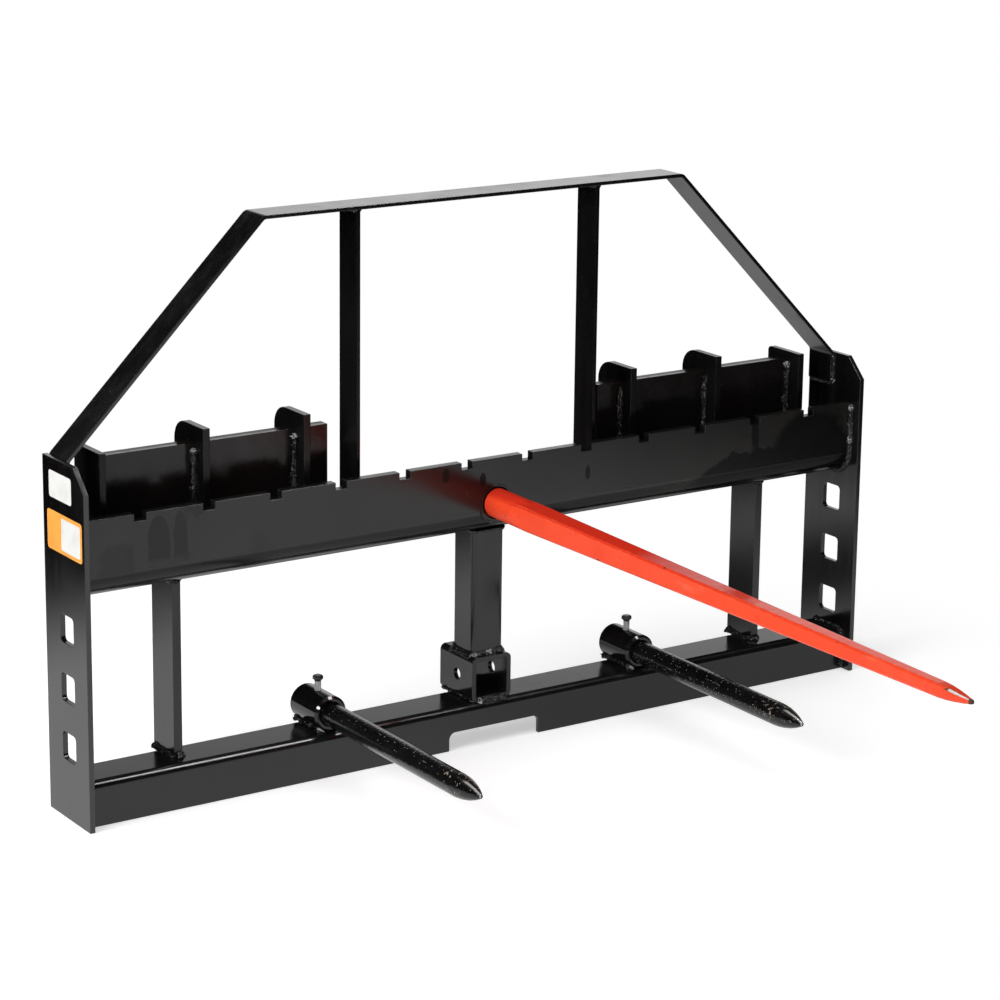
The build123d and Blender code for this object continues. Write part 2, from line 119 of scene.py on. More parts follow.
# Weld beads: leg lengths, and how far some runs stop short of a corner
TOP_RAIL_LEG = 0.0062
BOTTOM_RAIL_LEG = 0.0050
RAIL_TOP_GAP = 0.001
RAIL_FOOT_GAP = 0.002
GUARD_LEG = 0.0048
GUARD_TOP_GAP = 0.004
UPRIGHT_FOOT_LEG = 0.0062
UPRIGHT_HEAD_LEG = 0.0055
CENTER_FOOT_LEG = 0.0060
CENTER_FOOT_DROP = 0.65
CENTER_HEAD_LEG = 0.0034
LIP_LEG = 0.0070
LIP_TOP_GAP = 0.006
LIP_END_TOP_GAP = 0.004
STITCH_LENGTH = 0.050
STITCH_PITCH = 0.088
STITCH_START = 0.02
STITCH_COUNT = 4
STITCH_REACHES = ((0, 0.0048, 0), (0, 0, 0.0055))
SPEAR_SLEEVE_DEGREES = range(195, 346, 5)
SPEAR_SLEEVE_LEG = 0.0042
SPEAR_SLEEVE_RISE = 0.0034

# Weld beads on rounded seats: reaches from the corner to the bead's feet
RECEIVER_FRONT_REACHES = ((0, -0.0066, -0.0016), (0, 0.0004, 0.0058))
RECEIVER_BACK_REACHES = ((0, 0.0060, 0), (0, 0, 0.0058))
RECEIVER_SIDE_REACHES = ((0.0085, 0, 0), (0.0062, 0, 0.0045))
RECEIVER_FRONT_GAP = 0.002
RECEIVER_BACK_GAP = 0.004
STABILIZER_REACHES = ((0.0100, 0, 0), (0.0088, 0, 0.0074))
STABILIZER_ASIDE = 0.008
STABILIZER_END_GAP = 0.001

# Blank fields on the left side plate: ranges along Y and Z, corner and thickness
LABEL_FIELD = ((-0.109, -0.011), (0.355, 0.407), 0.005, 0.0003)
LABEL_PANEL = ((-0.104, -0.051), (0.360, 0.402), 0.003, 0.0005)
BADGE_FIELD = ((-0.081, -0.018), (0.424, 0.459), 0.004, 0.0004)
FIELD_EDGE = 0.0006
FIELD_EDGE_SHARE = 0.7
FIELD_CORNER_STEPS = 6

# Paint colours, linear
BLACK = (0.0030, 0.0030, 0.0032)
CHARCOAL = (0.0065, 0.0064, 0.0063)
BROWN_BLACK = (0.0105, 0.0072, 0.0068)
RAIL_GREY = (0.0095, 0.0092, 0.0090)
FILM_SHEEN_BROWN = (0.017, 0.0155, 0.013)
REFLECTION_SHADE_BLACK = (0.0034, 0.0034, 0.0034)
STAIN_BLACK = (0.002, 0.002, 0.002)
NICK_BLACK = (0.0015, 0.0015, 0.0015)
GAP_SHADE_BLACK = (0.0010, 0.0010, 0.0010)
BAR_GREY = (0.0065, 0.0062, 0.0060)
WELD_BLACK = (0.0025, 0.0025, 0.0026)
WELD_GREY = (0.0070, 0.0066, 0.0062)
DUST = (0.16, 0.155, 0.15)
ORANGE_RED = (0.90, 0.072, 0.023)
DEEP_RED = (0.70, 0.036, 0.013)
SHADED_TOP_RED = (0.56, 0.020, 0.010)
SCUFFED_RED = (0.95, 0.30, 0.18)
PALE_RED = (0.92, 0.45, 0.32)
RUST_BROWN = (0.10, 0.045, 0.022)
SCUFF_TAN = (0.36, 0.29, 0.22)
SPECK_GREY = (0.50, 0.49, 0.46)
STREAK_GLINT_STEEL = (0.62, 0.60, 0.57)
BARE_STEEL_HIGHLIGHT = (0.88, 0.86, 0.83)
GLINT_STEEL = (0.78, 0.78, 0.76)
PAINTED_SPARKLE_GREY = (0.60, 0.60, 0.58)
ZINC = (0.58, 0.60, 0.62)
DULL_ZINC = (0.42, 0.43, 0.44)
AMBER = (0.90, 0.36, 0.055)
TIRED_AMBER = (0.80, 0.30, 0.05)
LABEL_WHITE = (0.72, 0.72, 0.70)
TIRED_WHITE = (0.64, 0.63, 0.60)
LABEL_SCUFF = (0.5, 0.48, 0.45)

# Paint runs on the top rail: middle, half width and top
RAIL_DRIPS = [(-0.4845, 0.0100, 0.402), (-0.5152, 0.0160, 0.400)]

# Dark drops under its notches: middle across, height, half width and half height
RAIL_STAINS = [
    (-0.083, 0.393, 0.0060, 0.0100),
    (-0.0234, 0.380, 0.0050, 0.0090),
    (0.1505, 0.366, 0.0040, 0.0100),
]

# Places at its right end where the coat is dull and painted darker as a painted dark reflection, in the
# same way, and the line that this painted shade lies below: height at the rail's middle, slope and highest
# level
RAIL_REFLECTION_SHADE_PLACES = [(0.5455, 0.350, 0.066, 0.056), (0.4448, 0.385, 0.0085, 0.030)]
RAIL_REFLECTION_SHADE_LINE = (0.1766, 0.4545, 0.3585)

# Chips in the spear's enamel: place and radius
SPEAR_CHIPS = [
    ((-0.019, -0.122, 0.3425), 0.0022),
    ((-0.018, -0.148, 0.3405), 0.0030),
    ((-0.015, -0.356, 0.3290), 0.0030),
    ((-0.004, -0.378, 0.3590), 0.0022),
    ((-0.010, -0.430, 0.3560), 0.0020),
    ((-0.012, -0.495, 0.3540), 0.0022),
    ((-0.012, -0.640, 0.3530), 0.0016),
    ((-0.010, -0.830, 0.3490), 0.0018),
]


def low(node):
    return Vector(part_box(node)[0])


def high(node):
    return Vector(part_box(node)[1])


def middle_of(node):
    return (low(node) + high(node)) / 2


def ends_of(node, axis):
    """A solid's two ends along an axis, each with its outward sign."""
    return (low(node)[axis], -1), (high(node)[axis], 1)


PLATE_INNER = low("right_side_plate").x
RAIL_FRONT = low("top_rail").y
RAIL_TOP = high("top_rail").z
RAIL_FOOT = low("top_rail").z
BEND_TOP = RAIL_FOOT + TOP_RAIL_BEND
RAIL_LEG_BACK = high("top_rail").y
RAIL_LEG_TOP = low("left_coupler_lip").z
BOTTOM_RAIL_TOP = high("bottom_rail").z
LIP_FRONT = low("left_coupler_lip").y
LIP_TOP = high("left_coupler_lip").z
SIDES = {"left": -1, "right": 1}


class Graph:
    """A node tree, with short calls for the kinds of node that are used often."""

    def __init__(self, tree):
        self.tree = tree

    def feed(self, socket, value):
        if isinstance(value, bpy.types.NodeSocket):
            self.tree.links.new(value, socket)
        elif socket.type == "RGBA" and len(value) == 3:
            socket.default_value = (*value, 1.0)
        else:
            socket.default_value = value

    def node(self, kind, settings=None, inputs=None):
        made = self.tree.nodes.new(kind)
        for key, value in (settings or {}).items():
            setattr(made, key, value)
        for key, value in (inputs or {}).items():
            self.feed(made.inputs[key], value)
        return made

    def math(self, operation, first, second=0.0):
        return self.node("ShaderNodeMath", {"operation": operation}, {0: first, 1: second}).outputs[0]

    def plus(self, first, second):
        return self.math("ADD", first, second)

    def minus(self, first, second):
        return self.math("SUBTRACT", first, second)

    def times(self, first, second):
        return self.math("MULTIPLY", first, second)

    def any_of(self, masks):
        total = masks[0]
        for mask in masks[1:]:
            total = self.math("MAXIMUM", total, mask)
        return total

    def vector(self, operation, first, second, output="Value"):
        made = self.node("ShaderNodeVectorMath", {"operation": operation}, {0: first, 1: second})
        return made.outputs[output]

    def ramp(self, value, start, end, low_value=0.0, high_value=1.0):
        """A smooth step of a value, from low at start to high at end."""
        inputs = {0: value, 1: start, 2: end, 3: low_value, 4: high_value}
        return self.node("ShaderNodeMapRange", {"interpolation_type": "SMOOTHSTEP"}, inputs).outputs[0]

    def between(self, value, rise_start, rise_end, fall_start, fall_end):
        """A mask that rises over one stretch of a value and falls over a later one."""
        return self.times(self.ramp(value, rise_start, rise_end), self.ramp(value, fall_end, fall_start))

    def mix(self, factor, first, second):
        made = self.node("ShaderNodeMix", {"data_type": "RGBA"})
        self.feed(made.inputs[0], factor)
        self.feed(made.inputs[6], first)
        self.feed(made.inputs[7], second)
        return made.outputs[2]

    def over(self, color, mask, cover, coat):
        """A colour with a coat laid over it where a mask is, at a share of full cover."""
        return self.mix(self.times(mask, cover), color, coat)

    def emission(self, strength):
        return self.node("ShaderNodeEmission", inputs={"Color": WHITE, "Strength": strength}).outputs[0]

    def blend(self, factor, first, second):
        return self.node("ShaderNodeMixShader", inputs={0: factor, 1: first, 2: second}).outputs[0]


class Paint(Graph):
    """One material's nodes. Patterns are laid out in the frame of the solids."""

    def __init__(self, name):
        self.material = bpy.data.materials.new(name)
        self.material.use_nodes = True
        super().__init__(self.material.node_tree)
        self.shader = self.tree.nodes["Principled BSDF"]
        self.place = self.node("ShaderNodeTexCoord").outputs["Object"]

    def axis(self, name):
        return self.node("ShaderNodeSeparateXYZ", inputs={0: self.place}).outputs[name]

    def noise(self, scale, detail=3.0, stretch=(1, 1, 1)):
        stretched = self.vector("MULTIPLY", self.place, stretch, "Vector")
        inputs = {"Vector": stretched, "Scale": scale, "Detail": detail}
        return self.node("ShaderNodeTexNoise", inputs=inputs).outputs[0]

    def patches(self, scale, detail, start, end, low_value=0.0, high_value=1.0, stretch=(1, 1, 1)):
        """Noise turned into soft-edged patches."""
        return self.ramp(self.noise(scale, detail, stretch), start, end, low_value, high_value)

    def spots(self, scale, radius, share):
        """Sparse round spots: a share of the cells of a Voronoi pattern."""
        cells = self.node("ShaderNodeTexVoronoi", inputs={"Vector": self.place, "Scale": scale})
        pick = self.node("ShaderNodeSeparateColor", inputs={"Color": cells.outputs["Color"]}).outputs[0]
        chosen = self.math("LESS_THAN", pick, share)
        return self.times(self.ramp(cells.outputs["Distance"], radius, radius * 0.5), chosen)

    def near(self, point, radius, wander):
        """A spot round one point of the frame, its outline broken by noise."""
        gap = self.vector("DISTANCE", self.place, point)
        gap = self.plus(gap, self.times(self.noise(420.0, 2.0), wander))
        return self.ramp(gap, radius, radius * 0.7)

    def flat_normal(self):
        return self.node("ShaderNodeNewGeometry").outputs["Normal"]

    def rounded(self, radius):
        """The surface normal with its edges rounded."""
        return self.node("ShaderNodeBevel", {"samples": 4}, {"Radius": radius}).outputs[0]

    def edges(self, rounded, start=0.03, end=0.28):
        """A mask of sharp edges: where the rounded normal leaves the flat one."""
        agreement = self.vector("DOT_PRODUCT", rounded, self.flat_normal())
        return self.ramp(self.minus(1.0, agreement), start, end)

    def bump(self, height, strength, distance, normal=None):
        inputs = {"Height": height, "Strength": strength, "Distance": distance}
        if normal is not None:
            inputs["Normal"] = normal
        return self.node("ShaderNodeBump", inputs=inputs).outputs[0]

    def shine(self, level):
        self.feed(self.shader.inputs["Specular IOR Level"], level)

    def finish(self, color, roughness, normal, metallic=0.0):
        self.feed(self.shader.inputs["Base Color"], color)
        self.feed(self.shader.inputs["Roughness"], roughness)
        self.feed(self.shader.inputs["Normal"], normal)
        self.feed(self.shader.inputs["Metallic"], metallic)
        return self.material


def black_coat(
    graph, tint=BLACK, gloss=0.15, streak=(1, 1, 0.12), dusty=0.35,
    edge_radius=0.0016, shine=0.5, waves=0.0,
):
    """Black powder coat: orange peel, soft streaks, dust specks and thin rubbed edges that are partly a
    painted edge highlight.
    """
    graph.shine(shine)
    streaks = graph.patches(60.0, 3.0, 0.42, 0.7, stretch=streak)
    specks = graph.spots(75.0, 0.07, 0.10)
    rounded = graph.rounded(edge_radius)
    # Rubbed edges: pale worn coat, and partly a painted edge highlight.
    rub_and_edge_highlight = graph.times(graph.edges(rounded), graph.patches(45.0, 4.0, 0.45, 0.7))
    color = graph.mix(graph.patches(7.0, 4.0, 0.35, 0.7), tint, CHARCOAL)
    color = graph.over(color, streaks, 0.35, BROWN_BLACK)
    color = graph.over(color, specks, dusty, DUST)
    color = graph.over(color, rub_and_edge_highlight, 0.30, DUST)
    rough = graph.patches(11.0, 5.0, 0.3, 0.75, gloss * 0.7, gloss * 1.5)
    rough = graph.plus(rough, graph.times(streaks, 0.05))
    peel = graph.plus(graph.noise(420.0, 2.0), graph.times(specks, 0.8))
    if waves:
        rounded = graph.bump(graph.noise(34.0, 3.0, (1, 1, 0.6)), waves, 0.004, rounded)
    return graph.finish(color, rough, graph.bump(peel, 0.07, 0.0004, rounded))


def black_paint(name, **choices):
    return black_coat(Paint(name), **choices)


def lip_paint(name):
    """Brownish coat with shallow waves, dull along the back of the lip's crest."""
    graph = Paint(name)
    black_coat(graph, tint=BROWN_BLACK, gloss=0.16, edge_radius=0.0009, waves=0.16)
    crest = graph.ramp(graph.axis("Z"), LIP_TOP - 0.0016, LIP_TOP - 0.0008)
    back = graph.ramp(graph.axis("Y"), LIP_FRONT + 0.0055, LIP_FRONT + 0.0075)
    graph.shine(graph.ramp(graph.times(crest, back), 0.0, 1.0, 0.36, 0.05))
    return graph.material


def rail_drip(graph, across, height, middle, half_width, top):
    """A dried run of thinner paint: a tongue with a rounded top."""
    wander = graph.times(graph.noise(30.0, 2.0), 0.010)
    gap = graph.math("ABSOLUTE", graph.minus(graph.plus(across, wander), middle + 0.005))
    reach = graph.times(graph.math("POWER", graph.ramp(height, top, top - 0.034), 0.22), half_width)
    tongue = graph.ramp(graph.minus(gap, reach), 0.0012, -0.0012)
    return graph.times(tongue, graph.ramp(height, BEND_TOP + 0.002, BEND_TOP + 0.014))


def rail_stain(graph, across, height, middle, level, half_width, half_height):
    """A soft-edged oval on the rail's face."""
    aside = graph.math("DIVIDE", graph.minus(across, middle), half_width)
    above = graph.math("DIVIDE", graph.minus(height, level), half_height)
    gap = graph.plus(graph.math("POWER", aside, 2.0), graph.math("POWER", above, 2.0))
    return graph.ramp(gap, 1.3, 0.7)


def rail_reflection_shade(graph, across, height):
    """Where the coat at the rail's right end is dull and painted darker as a dark reflection, with a
    wandering outline.
    """
    wander = graph.times(graph.minus(graph.noise(70.0, 5.0), 0.5), 0.022)
    aside = graph.plus(across, wander)
    above = graph.plus(height, wander)
    places = [rail_stain(graph, aside, above, *place) for place in RAIL_REFLECTION_SHADE_PLACES]
    start, slope, highest = RAIL_REFLECTION_SHADE_LINE
    line = graph.math("MINIMUM", graph.plus(graph.times(aside, slope), start), highest)
    places.append(graph.ramp(graph.minus(above, line), 0.0015, -0.0015))
    return graph.times(graph.any_of(places), graph.ramp(across, 0.30, 0.36))


def rail_shine(graph, across, height, smears, dull_reflection_shade):
    """The top rail's gloss: less in smears, at the dull end with its painted dark reflection, round the
    bend and under it.
    """
    strip = graph.between(height, BEND_TOP - 0.022, BEND_TOP - 0.016, BEND_TOP - 0.006, BEND_TOP)
    bend = graph.ramp(height, BEND_TOP, BEND_TOP - 0.004, 0.0, 0.85)
    bend = graph.times(graph.ramp(across, -0.10, 0.20), bend)
    shine = graph.ramp(graph.any_of([strip, smears, dull_reflection_shade, bend]), 0.0, 1.0, 0.5, 0.26)
    loss = graph.times(bend, graph.ramp(dull_reflection_shade, 0.0, 1.0, 0.32, 0.62))
    shine = graph.times(shine, graph.minus(1.0, loss))
    return graph.times(shine, graph.ramp(height, RAIL_FOOT + 0.003, RAIL_FOOT + 0.008, 0.06, 1.0))


def rail_paint(name):
    """The top rail's coat: drips at the left, darker blotches towards the left end, drops under notches, a
    dull right end painted darker as a dark reflection with a lighter film that is partly a painted sheen,
    nicks at the bend.
    """
    graph = Paint(name)
    across = graph.axis("X")
    height = graph.axis("Z")
    drips = graph.any_of([rail_drip(graph, across, height, *drip) for drip in RAIL_DRIPS])
    drops = graph.any_of([rail_stain(graph, across, height, *stain) for stain in RAIL_STAINS])
    # Darker blotches towards the left end.
    left_blotches = graph.times(graph.patches(14.0, 3.0, 0.52, 0.56), graph.ramp(across, -0.30, -0.42))
    smears = graph.any_of([graph.times(drips, 0.4), graph.times(left_blotches, 0.3), drops])
    # Painted dark reflection: the right end is made darker as well as duller, with a wandering outline.
    dull_reflection_shade = rail_reflection_shade(graph, across, height)
    # A lighter brownish film at the right: partly overspray, partly a painted sheen.
    film_and_sheen = graph.times(graph.patches(11.0, 2.0, 0.35, 0.60), graph.ramp(across, 0.20, 0.40))
    band = graph.between(height, BEND_TOP - 0.010, BEND_TOP - 0.002, BEND_TOP, BEND_TOP + 0.006)
    nicks = graph.times(graph.patches(70.0, 2.0, 0.55, 0.64, stretch=(1, 1, 2.5)), band)
    rounded = graph.rounded(0.0018)
    # Rubbed edges: pale worn coat, and partly a painted edge highlight.
    rub_and_edge_highlight = graph.times(graph.edges(rounded), graph.patches(40.0, 4.0, 0.42, 0.66))
    specks = graph.spots(60.0, 0.06, 0.12)
    color = graph.mix(graph.patches(5.0, 4.0, 0.35, 0.7), CHARCOAL, RAIL_GREY)
    color = graph.over(color, film_and_sheen, 0.75, FILM_SHEEN_BROWN)
    color = graph.mix(dull_reflection_shade, color, REFLECTION_SHADE_BLACK)
    color = graph.mix(smears, color, STAIN_BLACK)
    color = graph.over(color, nicks, 0.85, NICK_BLACK)
    color = graph.over(color, rub_and_edge_highlight, 0.35, DUST)
    color = graph.over(color, specks, 0.25, DUST)
    rough = graph.patches(9.0, 5.0, 0.3, 0.75, 0.16, 0.24)
    rough = graph.plus(rough, graph.times(smears, 0.16))
    graph.shine(rail_shine(graph, across, height, smears, dull_reflection_shade))
    peel = graph.plus(graph.noise(380.0, 2.0), graph.times(nicks, -1.5))
    return graph.finish(color, rough, graph.bump(peel, 0.12, 0.0004, rounded))


def point_wear_and_highlight(graph, along, tip):
    """A ragged strip along the upper left edge of the spear's point, worn bare and painted bright partly as
    a highlight.
    """
    axis_height = graph.plus(graph.times(along, SPEAR_AXIS_SLOPE), SPEAR_AXIS_HEIGHT)
    rise = graph.minus(graph.axis("Z"), axis_height)
    turn = graph.math("ARCTAN2", rise, graph.times(graph.axis("X"), -1.0))
    aside = graph.math("ABSOLUTE", graph.minus(turn, POINT_STREAK_TURN))
    aside = graph.plus(aside, graph.times(graph.noise(240.0, 3.0), 0.16))
    ragged = graph.plus(along, graph.times(graph.noise(160.0, 3.0), 0.016))
    return graph.times(graph.ramp(ragged, tip + 0.050, tip + 0.036), graph.ramp(aside, 0.36, 0.18))


def spear_paint(name):
    """Orange-red enamel on a forged bar: painted shade darkens its top face near the root; chipped, with
    pale worn edges that are partly a painted highlight, a bare point strip painted bright as a highlight,
    and plated from the nut on."""
    graph = Paint(name)
    along = graph.axis("Y")
    upward = graph.node("ShaderNodeSeparateXYZ", inputs={0: graph.flat_normal()}).outputs["Z"]
    polish = graph.ramp(along, -0.42, -0.74, 0.0, 0.80)
    graph.shine(graph.ramp(upward, 0.15, 0.65, 0.20, polish))
    # Painted shade: upward faces near the root are mixed towards a darker red, as if the light falls from
    # the left.
    painted_top_shade = graph.times(graph.ramp(upward, 0.45, 0.85), graph.ramp(along, -0.85, -0.50, 0.10, 0.80))
    scuffs = graph.patches(55.0, 4.0, 0.62, 0.72, stretch=(1, 0.25, 1))
    rounded = graph.rounded(0.0022)
    corner = graph.edges(rounded, 0.02, 0.16)
    # Pale red on the corners: worn paint, and partly a painted edge highlight.
    pale_wear_and_highlight = graph.times(corner, graph.patches(90.0, 3.0, 0.50, 0.62))
    chips = graph.any_of([graph.near(point, radius + 0.001, 0.0022) for point, radius in SPEAR_CHIPS])
    nibbles = graph.times(corner, graph.patches(120.0, 3.0, 0.66, 0.71))
    chips = graph.any_of([chips, nibbles])
    tip = low("main_spear").y
    streak = point_wear_and_highlight(graph, along, tip)
    # Bare steel at the point, painted bright partly as a highlight.
    bare_and_glint = graph.ramp(streak, 0.30, 0.55)
    blunted = graph.ramp(along, tip + 0.005, tip + 0.003)
    nut_front = low("spear_nut").y
    plated = graph.ramp(along, nut_front - 0.002, nut_front)
    color = graph.over(ORANGE_RED, graph.patches(18.0, 4.0, 0.35, 0.75), 0.28, DEEP_RED)
    color = graph.mix(painted_top_shade, color, SHADED_TOP_RED)
    color = graph.over(color, scuffs, 0.20, SCUFFED_RED)
    color = graph.over(color, pale_wear_and_highlight, 0.35, PALE_RED)
    color = graph.mix(chips, color, RUST_BROWN)
    color = graph.mix(graph.ramp(streak, 0.04, 0.25), color, RUST_BROWN)
    color = graph.mix(bare_and_glint, color, BARE_STEEL_HIGHLIGHT)
    color = graph.mix(blunted, color, RUST_BROWN)
    color = graph.mix(plated, color, ZINC)
    metal = graph.any_of([graph.times(bare_and_glint, 0.3), graph.times(plated, 0.55)])
    rough = graph.patches(26.0, 4.0, 0.3, 0.75, 0.26, 0.40)
    rough = graph.times(rough, graph.ramp(upward, 0.15, 0.65, 1.0, 0.28))
    rough = graph.plus(rough, graph.times(chips, 0.25))
    forged = graph.plus(graph.noise(48.0, 3.0), graph.times(graph.noise(300.0, 2.0), 0.12))
    forged = graph.minus(forged, graph.times(chips, 0.35))
    return graph.finish(color, rough, graph.bump(forged, 0.22, 0.0010, rounded), metal)


def stabilizer_paint(name, offset):
    """Gloss black on rolled bar: pitted skin, pale specks, tan scuffs and a point worn bare, bright partly
    as a painted highlight.
    """
    graph = Paint(name)
    along = graph.axis("Y")
    tip = low("left_stabilizer_spear").y
    grains = graph.times(graph.spots(300.0, 0.26, 0.26), 0.45)
    pits = graph.any_of([grains, graph.spots(85.0, 0.11, 0.09)])
    shoulder = graph.between(along, tip + 0.018, tip + 0.034, tip + 0.055, tip + 0.085)
    upper = graph.ramp(graph.axis("Z"), 0.074, 0.090)
    scuff = graph.times(graph.patches(150.0, 3.0, 0.60, 0.66), shoulder)
    scuff = graph.times(scuff, graph.plus(graph.times(upper, 0.7), 0.3))
    # A bare streak along the upper left of the point, painted bright partly as a highlight.
    side = graph.minus(graph.axis("X"), offset)
    lean = graph.plus(side, graph.times(graph.minus(along, tip), 0.16))
    lean = graph.plus(lean, graph.times(graph.noise(260.0, 2.0), 0.0020))
    streak = graph.ramp(graph.math("ABSOLUTE", lean), 0.0018, 0.0008)
    streak = graph.times(streak, graph.ramp(along, tip + 0.034, tip + 0.022))
    streak = graph.times(streak, upper)
    color = graph.mix(graph.patches(30.0, 4.0, 0.4, 0.75), BLACK, BAR_GREY)
    color = graph.mix(pits, color, SPECK_GREY)
    color = graph.over(color, scuff, 0.85, SCUFF_TAN)
    color = graph.mix(streak, color, STREAK_GLINT_STEEL)
    rough = graph.patches(40.0, 4.0, 0.3, 0.75, 0.10, 0.22)
    rough = graph.plus(rough, graph.times(scuff, 0.30))
    skin = graph.plus(graph.noise(260.0, 4.0), graph.times(pits, -0.8))
    normal = graph.bump(skin, 0.55, 0.0011, graph.rounded(0.0012))
    return graph.finish(color, rough, normal, graph.times(streak, 0.9))


def sleeve_paint(name):
    """The spear's sleeve: painted like the rail, with painted shade, dull and near black, on the inner ring
    where the gap beside the spear is.
    """
    graph = Paint(name)
    middle = middle_of("spear_sleeve")
    flat = graph.vector("MULTIPLY", graph.place, (1, 0, 1), "Vector")
    radius = graph.vector("DISTANCE", flat, (middle.x, 0, middle.z))
    ragged = graph.plus(radius, graph.times(graph.noise(150.0, 2.0), 0.0010))
    outside = graph.ramp(ragged, 0.0228, 0.0240)
    # Painted shade: the inner part of the front ring is near black, standing for the shadowed gap round the
    # spear.
    color = graph.mix(outside, GAP_SHADE_BLACK, CHARCOAL)
    graph.shine(graph.ramp(outside, 0.0, 1.0, 0.03, 0.5))
    rough = graph.ramp(outside, 0.0, 1.0, 0.6, 0.2)
    normal = graph.bump(graph.noise(380.0, 2.0), 0.10, 0.0004, graph.rounded(0.0008))
    return graph.finish(color, rough, normal)


def zinc_plate(name):
    """Zinc-plated steel: faint clouding and a fine grain."""
    graph = Paint(name)
    color = graph.mix(graph.patches(180.0, 4.0, 0.35, 0.7), ZINC, DULL_ZINC)
    rough = graph.patches(90.0, 3.0, 0.3, 0.7, 0.26, 0.42)
    normal = graph.bump(graph.noise(900.0, 2.0), 0.10, 0.0002, graph.rounded(0.0005))
    return graph.finish(color, rough, normal, 0.55)


def weld_paint(name, glint_points):
    """Powder coat over a weld bead: thick, glossy and pinholed, with painted sparkle highlights and painted
    glints standing in for bare spatter.
    """
    graph = Paint(name)
    holes = graph.spots(300.0, 0.16, 0.08)
    # Painted glints: pale clusters round the given points, standing in for bare spatter.
    bare_and_glint = graph.any_of([graph.near(point, 0.0110, 0.009) for point in glint_points])
    bare_and_glint = graph.times(bare_and_glint, graph.patches(560.0, 1.0, 0.53, 0.57))
    color = graph.mix(graph.noise(160.0, 3.0), WELD_BLACK, WELD_GREY)
    color = graph.mix(bare_and_glint, color, GLINT_STEEL)
    # Painted sparkle highlights: small pale spots all over the bead.
    color = graph.over(color, graph.spots(680.0, 0.36, 0.13), 0.7, PAINTED_SPARKLE_GREY)
    rough = graph.patches(120.0, 3.0, 0.3, 0.7, 0.05, 0.14)
    height = graph.minus(graph.noise(190.0, 3.0), graph.times(holes, 0.5))
    return graph.finish(color, rough, graph.bump(height, 1.0, 0.0040))


def painted_glint_points():
    """Where painted glints show on the welds as bare spatter; small steps carry each point from a corner
    into its bead.
    """
    bead_front = LIP_FRONT - 0.004
    bead_top = LIP_TOP - 0.008
    points = [(low(f"left_{kind}_gusset").x - 0.003, bead_front, bead_top) for kind in ("inner", "middle")]
    points.append((low("right_outer_gusset").x - 0.004, bead_front, bead_top))
    points.append((PLATE_INNER - 0.003, low("guard_bar").y - 0.003, low("guard_bar").z))
    for z in (RAIL_TOP - 0.006, RAIL_FOOT + 0.050):
        points.append((PLATE_INNER - 0.004, RAIL_FRONT - 0.003, z))
    for name in SIDES:
        sleeve = f"{name}_stabilizer_sleeve"
        points.append((middle_of(sleeve).x - 0.014, low(sleeve).y + 0.003, BOTTOM_RAIL_TOP + 0.003))
    upright = "center_upright"
    for x in (low(upright).x, middle_of(upright).x, high(upright).x):
        points.append((x, low(upright).y - 0.004, high("receiver_tube").z + 0.002))
    receiver = low("receiver_tube")
    points.append((receiver.x + RECEIVER_CORNER + 0.002, receiver.y - 0.004, BOTTOM_RAIL_TOP + 0.002))
    return points


def label_film(name, color, tired):
    """A plain printed film: slight yellowing, fine scuffs and a ripple."""
    graph = Paint(name)
    shade = graph.mix(graph.patches(40.0, 4.0, 0.4, 0.8), color, tired)
    scuffs = graph.patches(260.0, 3.0, 0.66, 0.72, stretch=(1, 1, 0.2))
    shade = graph.over(shade, scuffs, 0.12, LABEL_SCUFF)
    rough = graph.patches(70.0, 3.0, 0.3, 0.7, 0.30, 0.42)
    return graph.finish(shade, rough, graph.bump(graph.noise(60.0, 2.0), 0.10, 0.0006))


def mesh_piece(name, vertices, faces, material, slot, smooth=True):
    mesh = bpy.data.meshes.new(name)
    mesh.from_pydata([tuple(vertex) for vertex in vertices], [], faces)
    mesh.validate()
    mesh.materials.append(material)
    for polygon in mesh.polygons:
        polygon.use_smooth = smooth
    piece = bpy.data.objects.new(name, mesh)
    bpy.context.scene.collection.objects.link(piece)
    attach(piece, "root")
    return piece


def ringed(rings, place=Matrix.Identity(4), capped=True):
    """Vertices and faces of stacked rings of points, moved to a place."""
    vertices = [place @ point for ring in rings for point in ring]
    around = len(rings[0])
    faces = []
    for row in range(len(rings) - 1):
        here = row * around
        for index in range(around):
            beside = (index + 1) % around
            faces.append((here + index, here + beside, here + around + beside, here + around + index))
    if capped:
        top = (len(rings) - 1) * around
        faces.append(tuple(reversed(range(around))))
        faces.append(tuple(top + index for index in range(around)))
    return vertices, faces


def joined(shapes):
    """Several shapes as one."""
    vertices = []
    faces = []
    for shape_vertices, shape_faces in shapes:
        faces.extend([tuple(len(vertices) + index for index in face) for face in shape_faces])
        vertices.extend(shape_vertices)
    return vertices, faces


def straight(start, end, first, second):
    """A weld run along one corner; first and second reach from the corner to the bead's feet."""
    return [(Vector(place), Vector(first), Vector(second)) for place in (start, end)]


def resampled(run):
    """Even stations along a run, (corner, first reach, second reach, length so far), and its length."""
    stations = []
    done = 0.0
    for (corner, first, second), (corner_2, first_2, second_2) in zip(run, run[1:]):
        length = (corner_2 - corner).length
        count = max(1, round(length / BEAD_STEP))
        for index in range(count):
            share = index / count
            stations.append((
                corner.lerp(corner_2, share), first.lerp(first_2, share),
                second.lerp(second_2, share), done + length * share,
            ))
        done += length
    stations.append((*run[-1], done))
    return stations, done


